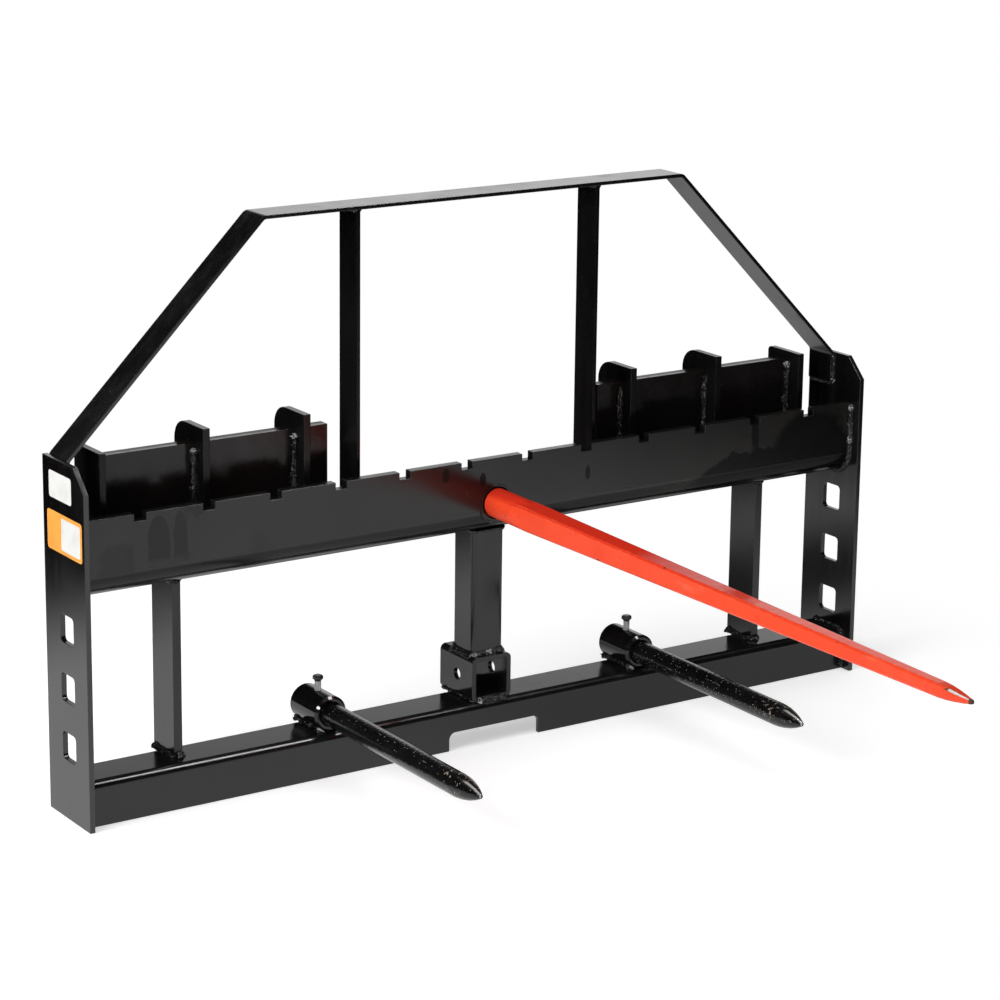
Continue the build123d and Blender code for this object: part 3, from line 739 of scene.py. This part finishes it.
def weld_bead(name, runs, seed, material):
    """Weld beads laid in corners: rippled, a little uneven, closed at both ends."""
    chance = random.Random(seed)
    shapes = []
    for run in runs:
        stations, total = resampled(run)
        phase = chance.uniform(0, 10)
        rings = []
        for corner, first, second, along in stations:
            to_end = min(along, total - along)
            taper = min(1.0, BEAD_END_SIZE + to_end / BEAD_END_LENGTH)
            wander = BEAD_WANDER * math.sin(along * BEAD_WANDER_RATE + phase)
            wander += chance.uniform(-BEAD_DRIFT, BEAD_DRIFT)
            crater = (total - along - BEAD_SWELL_FROM_END) / BEAD_SWELL_LENGTH
            swell = 1 + BEAD_SWELL * math.exp(-crater ** 2)
            ring = [corner - (first + second).normalized() * BEAD_SINK]
            for side in range(BEAD_SIDES + 1):
                angle = math.pi / 2 * side / BEAD_SIDES
                lag = BEAD_LAG * math.sin(2 * angle)
                ripple = abs(math.sin(math.pi * (along - lag) / BEAD_PITCH + phase))
                size = BEAD_SIZE + BEAD_RIPPLE * ripple + wander + chance.uniform(-BEAD_JITTER, BEAD_JITTER)
                flat = 1 - BEAD_FLATTENING * math.sin(2 * angle)
                reach = first * math.cos(angle) + second * math.sin(angle)
                ring.append(corner + reach * (taper * size * swell * flat))
            rings.append(ring)
        shapes.append(ringed(rings))
    return mesh_piece(name, *joined(shapes), material, "frame_paint")


def profile(points, side, radius, steps=8):
    """A bent strip's outer line in Y and Z with its normals; it bends at one point."""
    before, bend, after = (Vector((0, *point)) for point in points)
    come = (bend - before).normalized()
    go = (after - bend).normalized()
    normal_in = Vector((0, -come.z, come.y)) * side
    normal_out = Vector((0, -go.z, go.y)) * side
    middle = bend - come * radius - normal_in * radius
    line = [(before, normal_in)]
    for step in range(steps + 1):
        angle = math.pi / 2 * step / steps
        normal = normal_in * math.cos(angle) + normal_out * math.sin(angle)
        line.append((middle + normal * radius, normal))
    line.append((after, normal_out))
    return line


def rail_end_runs():
    head = (RAIL_FRONT, RAIL_TOP - RAIL_TOP_GAP)
    top_line = profile([head, (RAIL_FRONT, RAIL_FOOT), (RAIL_LEG_BACK, RAIL_FOOT)], -1, TOP_RAIL_BEND)
    bottom_bend = (RAIL_FRONT, BOTTOM_RAIL_TOP)
    bottom_back = (high("bottom_rail").y, BOTTOM_RAIL_TOP)
    bottom_line = profile([(RAIL_FRONT, RAIL_FOOT_GAP), bottom_bend, bottom_back], 1, BOTTOM_RAIL_BEND)
    runs = []
    for side in SIDES.values():
        for line, leg in ((top_line, TOP_RAIL_LEG), (bottom_line, BOTTOM_RAIL_LEG)):
            inward = Vector((-side * leg, 0, 0))
            at_plate = Vector((side * PLATE_INNER, 0, 0))
            runs.append([(point + at_plate, inward, normal * leg) for point, normal in line])
    return runs


def guard_runs():
    runs = []
    tab_low, front = low("guard_bar").z, low("guard_bar").y
    tab_top, back = high("left_side_plate").z - GUARD_TOP_GAP, high("guard_bar").y
    under = high("left_guard_upright").z
    for name, side in SIDES.items():
        x = side * PLATE_INNER
        inward = (-side * GUARD_LEG, 0, 0)
        runs.append(straight((x, front, tab_top), (x, front, tab_low), inward, (0, -GUARD_LEG, 0)))
        runs.append(straight((x, front, tab_low), (x, back, tab_low), inward, (0, 0, -GUARD_LEG)))
        upright = f"{name}_guard_upright"
        for edge, out in ends_of(upright, 0):
            for z, rise in ((under, -1), (RAIL_LEG_TOP, 1)):
                start = (edge, low(upright).y, z)
                end = (edge, high(upright).y, z)
                runs.append(straight(start, end, (out * GUARD_LEG, 0, 0), (0, 0, rise * GUARD_LEG)))
    return runs


def foot_loop(node, height, leg, rise, drop=0.0):
    """Four runs round an upright's end; drop tilts the side beads down over a rounded seat."""
    left, front, _ = low(node)
    right, back, _ = high(node)
    upward = (0, 0, rise * leg)
    runs = []
    for x, out in ends_of(node, 0):
        aside = (out * leg, 0, -rise * leg * drop)
        runs.append(straight((x, front, height), (x, back, height), aside, upward))
    for y, out in ends_of(node, 1):
        runs.append(straight((left, y, height), (right, y, height), (0, out * leg, 0), upward))
    return runs


def upright_runs():
    runs = []
    for name in SIDES:
        node = f"{name}_lower_upright"
        runs += foot_loop(node, BOTTOM_RAIL_TOP, UPRIGHT_FOOT_LEG, 1)
        runs += foot_loop(node, RAIL_FOOT, UPRIGHT_HEAD_LEG, -1)
    runs += foot_loop("center_upright", high("receiver_tube").z, CENTER_FOOT_LEG, 1, CENTER_FOOT_DROP)
    runs += foot_loop("center_upright", RAIL_FOOT, CENTER_HEAD_LEG, -1)
    return runs


def mirrored(reaches, side):
    return [(side * x, y, z) for x, y, z in reaches]


def receiver_runs():
    front, back = low("receiver_tube").y, high("receiver_tube").y
    flat = high("receiver_tube").x - RECEIVER_CORNER
    z = BOTTOM_RAIL_TOP
    runs = [
        straight((-flat, front, z), (flat, front, z), *RECEIVER_FRONT_REACHES),
        straight((-flat, back, z), (flat, back, z), *RECEIVER_BACK_REACHES),
    ]
    for side in SIDES.values():
        start = (side * flat, front + RECEIVER_FRONT_GAP, z)
        end = (side * flat, back - RECEIVER_BACK_GAP, z)
        runs.append(straight(start, end, *mirrored(RECEIVER_SIDE_REACHES, side)))
    return runs


def stabilizer_runs():
    runs = []
    for name in SIDES:
        node = f"{name}_stabilizer_sleeve"
        for out in SIDES.values():
            x = middle_of(node).x + out * STABILIZER_ASIDE
            start = (x, low(node).y + STABILIZER_END_GAP, BOTTOM_RAIL_TOP)
            end = (x, high(node).y - STABILIZER_END_GAP, BOTTOM_RAIL_TOP)
            runs.append(straight(start, end, *mirrored(STABILIZER_REACHES, out)))
    return runs


def rail_front_at(z):
    """The rail's front surface at a height, round its bend."""
    below = BEND_TOP - z
    if below <= 0:
        return RAIL_FRONT
    return RAIL_FRONT + TOP_RAIL_BEND - math.sqrt(max(TOP_RAIL_BEND ** 2 - below ** 2, 0.0))


def spear_sleeve_runs():
    center = Vector((0, 0, middle_of("spear_sleeve").z))
    radius = high("spear_sleeve").x
    run = []
    for degrees in SPEAR_SLEEVE_DEGREES:
        angle = math.radians(degrees)
        radial = Vector((math.cos(angle), 0, math.sin(angle)))
        point = center + radial * radius
        point.y = rail_front_at(point.z)
        run.append((point, radial * SPEAR_SLEEVE_LEG, Vector((0, -SPEAR_SLEEVE_RISE, 0))))
    return [run]


def lip_runs():
    runs = []
    lip_back = LIP_FRONT + LIP_THICKNESS
    forward, upward = (0, -LIP_LEG, 0), (0, 0, LIP_LEG)
    for name, side in SIDES.items():
        lip = f"{name}_coupler_lip"
        inner_end, outer_end = sorted((low(lip).x, high(lip).x), key=abs)
        for kind in ("inner", "middle"):
            node = f"{name}_{kind}_gusset"
            for x, out in ends_of(node, 0):
                aside = (out * LIP_LEG, 0, 0)
                corner = (x, LIP_FRONT, RAIL_LEG_TOP)
                runs.append(straight(corner, (x, LIP_FRONT, LIP_TOP - LIP_TOP_GAP), aside, forward))
                runs.append(straight((x, low(node).y, RAIL_LEG_TOP), corner, aside, upward))
        inner_corner = (inner_end, LIP_FRONT, RAIL_LEG_TOP)
        outer_corner = (outer_end, LIP_FRONT, RAIL_LEG_TOP)
        outer_top = (outer_end, LIP_FRONT, LIP_TOP - LIP_END_TOP_GAP)
        runs.append(straight(outer_corner, outer_top, (-side * LIP_LEG, 0, 0), forward))
        runs.append(straight(inner_corner, outer_corner, forward, upward))
        for index in range(STITCH_COUNT):
            start = inner_end + side * (STITCH_START + index * STITCH_PITCH)
            end = start + side * STITCH_LENGTH
            runs.append(straight(
                (start, lip_back, RAIL_LEG_TOP), (end, lip_back, RAIL_LEG_TOP), *STITCH_REACHES))
        gusset = f"{name}_outer_gusset"
        for x, out in ends_of(gusset, 0):
            start = (x, low(gusset).y, RAIL_LEG_TOP)
            runs.append(straight(start, (x, RAIL_LEG_BACK, RAIL_LEG_TOP), (out * LIP_LEG, 0, 0), upward))
    return runs


def weld_pieces():
    material = weld_paint("weld_paint", painted_glint_points())
    groups = {
        "weld_rail_ends": rail_end_runs(),
        "weld_guard": guard_runs(),
        "weld_uprights": upright_runs(),
        "weld_receiver": receiver_runs(),
        "weld_stabilizers": stabilizer_runs(),
        "weld_spear_sleeve": spear_sleeve_runs(),
        "weld_lips": lip_runs(),
    }
    for seed, (name, runs) in enumerate(groups.items()):
        weld_bead(name, runs, seed, material)


def lying(x, z):
    """A place that lays a shape standing along Z down along Y."""
    return Matrix.Translation((x, 0, z)) @ Matrix.Rotation(-math.pi / 2, 4, "X")


def circle(radius, z, around=96):
    angles = [2 * math.pi * index / around for index in range(around)]
    return [Vector((radius * math.cos(angle), radius * math.sin(angle), z)) for angle in angles]


def thread_rings(radius, depth, pitch, start, end, around=40, rows_per_pitch=8):
    """Rings of a screw thread standing along Z."""
    rows = max(2, round((end - start) / pitch * rows_per_pitch))
    rings = []
    for row in range(rows + 1):
        z = start + (end - start) * row / rows
        ring = []
        for index in range(around):
            turn = index / around
            saw = abs(((z - start) / pitch - turn) % 1.0 - 0.5) * 2
            reach = radius - depth * min(1.0, saw * THREAD_FLAT)
            angle = 2 * math.pi * turn
            ring.append(Vector((reach * math.cos(angle), reach * math.sin(angle), z)))
        rings.append(ring)
    return rings


def hex_rings(across_flats, start, end, crown, around=72):
    """Rings of a hexagon head along Z: a round neck, six flats and a crowned end."""
    rings = []
    half = across_flats / 2
    neck = start + (end - start) * SCREW_NECK_SHARE
    levels = [
        (start, 0.74), (neck - crown * 0.4, 0.82), (neck, 2.0),
        (end - crown, 2.0), (end - crown * 0.35, 1.07), (end, 0.90),
    ]
    for z, limit in levels:
        ring = []
        for index in range(around):
            angle = 2 * math.pi * index / around
            turn = (angle + math.pi / 6) % (math.pi / 3) - math.pi / 6
            reach = min(half / math.cos(turn), half * limit)
            ring.append(Vector((reach * math.cos(angle), reach * math.sin(angle), z)))
        rings.append(ring)
    return rings


def set_screws(head_material, shank_material):
    """Threaded set screws with crowned heads, in place of the plain solids."""
    for name in SIDES:
        node = f"{name}_set_screw"
        box_low, box_high = low(node), high(node)
        middle = middle_of(node)
        place = Matrix.Translation((middle.x, middle.y, 0))
        seat = box_high.z - SCREW_HEAD_HEIGHT
        flats = min((box_high.y - box_low.y) * math.cos(math.pi / 6), box_high.x - box_low.x)
        shank = ringed(thread_rings(*SCREW_THREAD, box_low.z, seat), place)
        shank_piece = mesh_piece(f"{name}_screw_shank", *shank, shank_material, "zinc_steel")
        head = ringed(hex_rings(flats, seat, box_high.z, SCREW_HEAD_CROWN), place)
        head_piece = mesh_piece(f"{name}_screw_head", *head, head_material, "frame_paint", smooth=False)
        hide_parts(node)
        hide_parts(node)


def stabilizer_sleeves(material):
    """Sleeves with broken edges, in place of the plain solids."""
    for name in SIDES:
        node = f"{name}_stabilizer_sleeve"
        spear = f"{name}_stabilizer_spear"
        front, back = low(node).y, high(node).y
        outer = (high(node).x - low(node).x) / 2
        bore = (high(spear).x - low(spear).x) / 2 + SLEEVE_CLEARANCE
        line = [
            (front + SLEEVE_BORE_CHAMFER, bore), (front, bore + SLEEVE_BORE_CHAMFER),
            (front, outer - SLEEVE_CHAMFER), (front + SLEEVE_CHAMFER, outer),
            (back - SLEEVE_CHAMFER, outer), (back, outer - SLEEVE_CHAMFER),
            (back, bore + SLEEVE_BORE_CHAMFER), (back - SLEEVE_BORE_CHAMFER, bore),
        ]
        place = lying(middle_of(node).x, middle_of(node).z)
        bands = [
            ringed([circle(radius, y), circle(radius_2, y_2)], place, capped=False)
            for (y, radius), (y_2, radius_2) in zip(line, line[1:] + line[:1])
        ]
        piece = mesh_piece(f"{name}_sleeve_tube", *joined(bands), material, "frame_paint")
        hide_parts(node)


def spear_thread(material):
    """The thread that shows past the spear's nut."""
    end = high("main_spear").y
    start = high("spear_nut").y
    rings = thread_rings(*SPEAR_THREAD, start, end - SPEAR_THREAD_CHAMFER, around=64)
    last = [point.xy * SPEAR_THREAD_END_SHARE for point in rings[-1]]
    rings.append([Vector((point.x, point.y, end + SPEAR_THREAD_PROUD)) for point in last])
    shape = ringed(rings, lying(0, middle_of("spear_nut").z))
    mesh_piece("spear_thread", *shape, material, "zinc_steel")


def rounded_field(name, y_range, z_range, corner, rise, material):
    """A thin film with rounded corners on the left side plate's outer face."""
    x = low("left_side_plate").x
    back, front = y_range[1] - corner, y_range[0] + corner
    top, bottom = z_range[1] - corner, z_range[0] + corner
    corners = [(back, top), (front, top), (front, bottom), (back, bottom)]
    rings = []
    for inset, stand in ((0.0, 0.0), (0.0, rise * FIELD_EDGE_SHARE), (FIELD_EDGE, rise)):
        reach = corner - inset
        ring = []
        for quarter, (y, z) in enumerate(corners):
            for step in range(FIELD_CORNER_STEPS + 1):
                angle = math.pi / 2 * (quarter + step / FIELD_CORNER_STEPS)
                ring.append(Vector((x - stand, y + reach * math.cos(angle), z + reach * math.sin(angle))))
        rings.append(ring)
    mesh_piece(name, *ringed(rings), material, "frame_paint", smooth=False)


def label_fields():
    """Blank fields where the side plate carries its labels."""
    amber = label_film("label_amber", AMBER, TIRED_AMBER)
    white = label_film("label_white", LABEL_WHITE, TIRED_WHITE)
    rounded_field("label_field", *LABEL_FIELD, amber)
    rounded_field("label_blank", *LABEL_PANEL, white)
    rounded_field("badge_blank", *BADGE_FIELD, white)


def paint_nodes():
    """Paints every solid; returns the paints that the added pieces share."""
    plate_black = black_paint("plate_black", gloss=0.13, shine=0.75)
    strip_black = black_paint("strip_black", edge_radius=0.0007, shine=0.20)
    gusset_black = black_paint("gusset_black", gloss=0.18, shine=0.24)
    satin_black = black_paint("satin_black", tint=CHARCOAL, gloss=0.14, streak=(1, 1, 0.05))
    edge_brown = lip_paint("edge_brown")
    gloss_black = black_paint("gloss_black", gloss=0.07, dusty=0.2, edge_radius=0.0034)
    sleeve_black = black_paint("sleeve_black", gloss=0.07, dusty=0.2, edge_radius=0.0005)
    zinc = zinc_plate("zinc_plate")
    looks = {
        "top_rail": rail_paint("rail_paint"),
        "bottom_rail": satin_black,
        "guard_bar": plate_black,
        "center_upright": satin_black,
        "receiver_tube": satin_black,
        "main_spear": spear_paint("spear_enamel"),
        "spear_sleeve": sleeve_paint("sleeve_paint"),
        "spear_nut": zinc,
    }
    for name in SIDES:
        looks[f"{name}_side_plate"] = plate_black
        looks[f"{name}_guard_upright"] = strip_black
        looks[f"{name}_lower_upright"] = satin_black
        looks[f"{name}_stabilizer_sleeve"] = sleeve_black
        looks[f"{name}_set_screw"] = zinc
        offset = middle_of(f"{name}_stabilizer_spear").x
        looks[f"{name}_stabilizer_spear"] = stabilizer_paint(f"{name}_stabilizer_gloss", offset)
        looks[f"{name}_coupler_lip"] = edge_brown
        for kind in ("inner", "middle", "outer"):
            looks[f"{name}_{kind}_gusset"] = gusset_black
    for name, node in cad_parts.items():
        node.data.materials.clear()
        node.data.materials.append(looks[name])
    return gloss_black, sleeve_black, zinc


def floor_mirror(graph):
    """How bright the floor looks in the paint: a painted pool of light, with painted shadow behind the
    frame, painted shade just in front of its right half, and dimmer at the right.
    """
    x, y = graph.axis("X"), graph.axis("Y")
    reach = graph.minus(y, graph.ramp(x, -0.40, 0.50, 0.0, 0.50))
    # Painted shadow on the floor behind the frame.
    behind_shadow = graph.times(graph.ramp(y, -0.05, 0.30), graph.ramp(x, -0.50, 0.25))
    behind_shadow = graph.times(behind_shadow, graph.ramp(y, 0.62, 0.38, 0.42, 0.90))
    pool = graph.times(graph.ramp(reach, 1.00, 0.42), graph.minus(1.0, behind_shadow))
    pool = graph.times(pool, graph.ramp(x, 1.58, 0.64, 0.02, 1.0))
    # Painted shade on the floor just in front of the frame's right half.
    foot_shade = graph.times(graph.between(y, -0.50, -0.20, -0.05, 0.10), graph.ramp(x, -0.20, 0.20))
    return graph.times(pool, graph.minus(1.0, graph.times(foot_shade, 0.34)))


def add_floor():
    """A white floor that fades into the backdrop."""
    size = FLOOR_HALF_SIZE
    mesh = bpy.data.meshes.new("floor")
    corners = [(-size, -size, 0), (size, -size, 0), (size, size, 0), (-size, size, 0)]
    mesh.from_pydata(corners, [], [(0, 1, 2, 3)])
    floor = bpy.data.objects.new("floor", mesh)
    floor.location.z = -FLOOR_DROP
    bpy.context.scene.collection.objects.link(floor)
    graph = Paint("floor_white")
    mesh.materials.append(graph.material)
    path = graph.node("ShaderNodeLightPath").outputs
    diffuse = graph.node("ShaderNodeBsdfDiffuse", inputs={"Color": FLOOR_GREY}).outputs[0]
    near_inputs = {0: diffuse, 1: graph.emission(FLOOR_GLOW)}
    near_floor = graph.node("ShaderNodeAddShader", inputs=near_inputs).outputs[0]
    gap = graph.vector("LENGTH", graph.place, (0, 0, 0))
    seen = graph.blend(graph.ramp(gap, *FLOOR_FADE), near_floor, graph.emission(1.0))
    plain = graph.blend(path["Is Camera Ray"], diffuse, seen)
    surface = graph.blend(path["Is Glossy Ray"], plain, graph.emission(floor_mirror(graph)))
    graph.feed(graph.tree.nodes["Material Output"].inputs["Surface"], surface)


def add_world():
    """A white backdrop; the paint mirrors a bright low wall at the right rear and a pale ceiling."""
    world = bpy.data.worlds.new("studio")
    bpy.context.scene.world = world
    world.use_nodes = True
    world.node_tree.nodes.clear()
    graph = Graph(world.node_tree)
    path = graph.node("ShaderNodeLightPath").outputs
    direction = graph.node("ShaderNodeTexCoord").outputs["Generated"]
    parts = graph.node("ShaderNodeSeparateXYZ", inputs={0: direction}).outputs
    rightward = graph.plus(graph.times(parts["X"], DIAGONAL), graph.times(parts["Y"], DIAGONAL))
    wall = graph.times(graph.ramp(rightward, 0.30, 0.85, 0.02, 1.1), graph.ramp(parts["Z"], 0.46, 0.22))
    ceiling = graph.ramp(parts["Z"], 0.70, 0.92, 0.0, 0.55)
    seen = graph.any_of([path["Is Camera Ray"], path["Is Transmission Ray"]])
    light = graph.node("ShaderNodeMix", {"data_type": "FLOAT"})
    graph.feed(light.inputs[0], path["Is Glossy Ray"])
    graph.feed(light.inputs[2], AMBIENT)
    graph.feed(light.inputs[3], graph.plus(wall, ceiling))
    strength = graph.any_of([light.outputs[0], seen])
    background = graph.node("ShaderNodeBackground", inputs={"Color": WHITE, "Strength": strength})
    output = graph.node("ShaderNodeOutputWorld")
    graph.feed(output.inputs[0], background.outputs[0])


def add_lamp(name, place, target, size, power, only_mirrored):
    lamp = bpy.data.lights.new(name, "AREA")
    lamp.shape = "RECTANGLE"
    lamp.size, lamp.size_y = size
    lamp.energy = power
    holder = bpy.data.objects.new(name, lamp)
    holder.location = place
    aim = Vector(target) - Vector(place)
    holder.rotation_euler = aim.to_track_quat("-Z", "Y").to_euler()
    holder.visible_glossy = only_mirrored
    holder.visible_diffuse = not only_mirrored
    bpy.context.scene.collection.objects.link(holder)


def add_camera():
    azimuth = math.radians(CAMERA_AZIMUTH)
    elevation = math.radians(CAMERA_ELEVATION)
    roll = math.radians(CAMERA_ROLL)
    level = Vector((-math.sin(azimuth), math.cos(azimuth), 0))
    forward = level * math.cos(elevation) - Vector((0, 0, math.sin(elevation)))
    right = Vector((math.cos(azimuth), math.sin(azimuth), 0))
    up = right.cross(forward)
    turned_right = right * math.cos(roll) + up * math.sin(roll)
    turned_up = up * math.cos(roll) - right * math.sin(roll)
    camera = bpy.data.cameras.new("camera")
    camera.lens = CAMERA_LENS
    camera.sensor_width = CAMERA_SENSOR
    camera.shift_x, camera.shift_y = CAMERA_SHIFT
    holder = bpy.data.objects.new("camera", camera)
    rotation = Matrix((turned_right, turned_up, -forward)).transposed().to_4x4()
    holder.matrix_world = Matrix.Translation(CAMERA_PLACE) @ rotation
    bpy.context.scene.collection.objects.link(holder)
    bpy.context.scene.camera = holder


bpy.context.scene.view_settings.view_transform = "Standard"
add_camera()
add_world()
add_floor()
for lamp_name, lamp_settings in LAMPS.items():
    add_lamp(lamp_name, *lamp_settings)
head_paint, ring_paint, zinc_paint = paint_nodes()
weld_pieces()
stabilizer_sleeves(ring_paint)
set_screws(head_paint, zinc_paint)
spear_thread(zinc_paint)
label_fields()
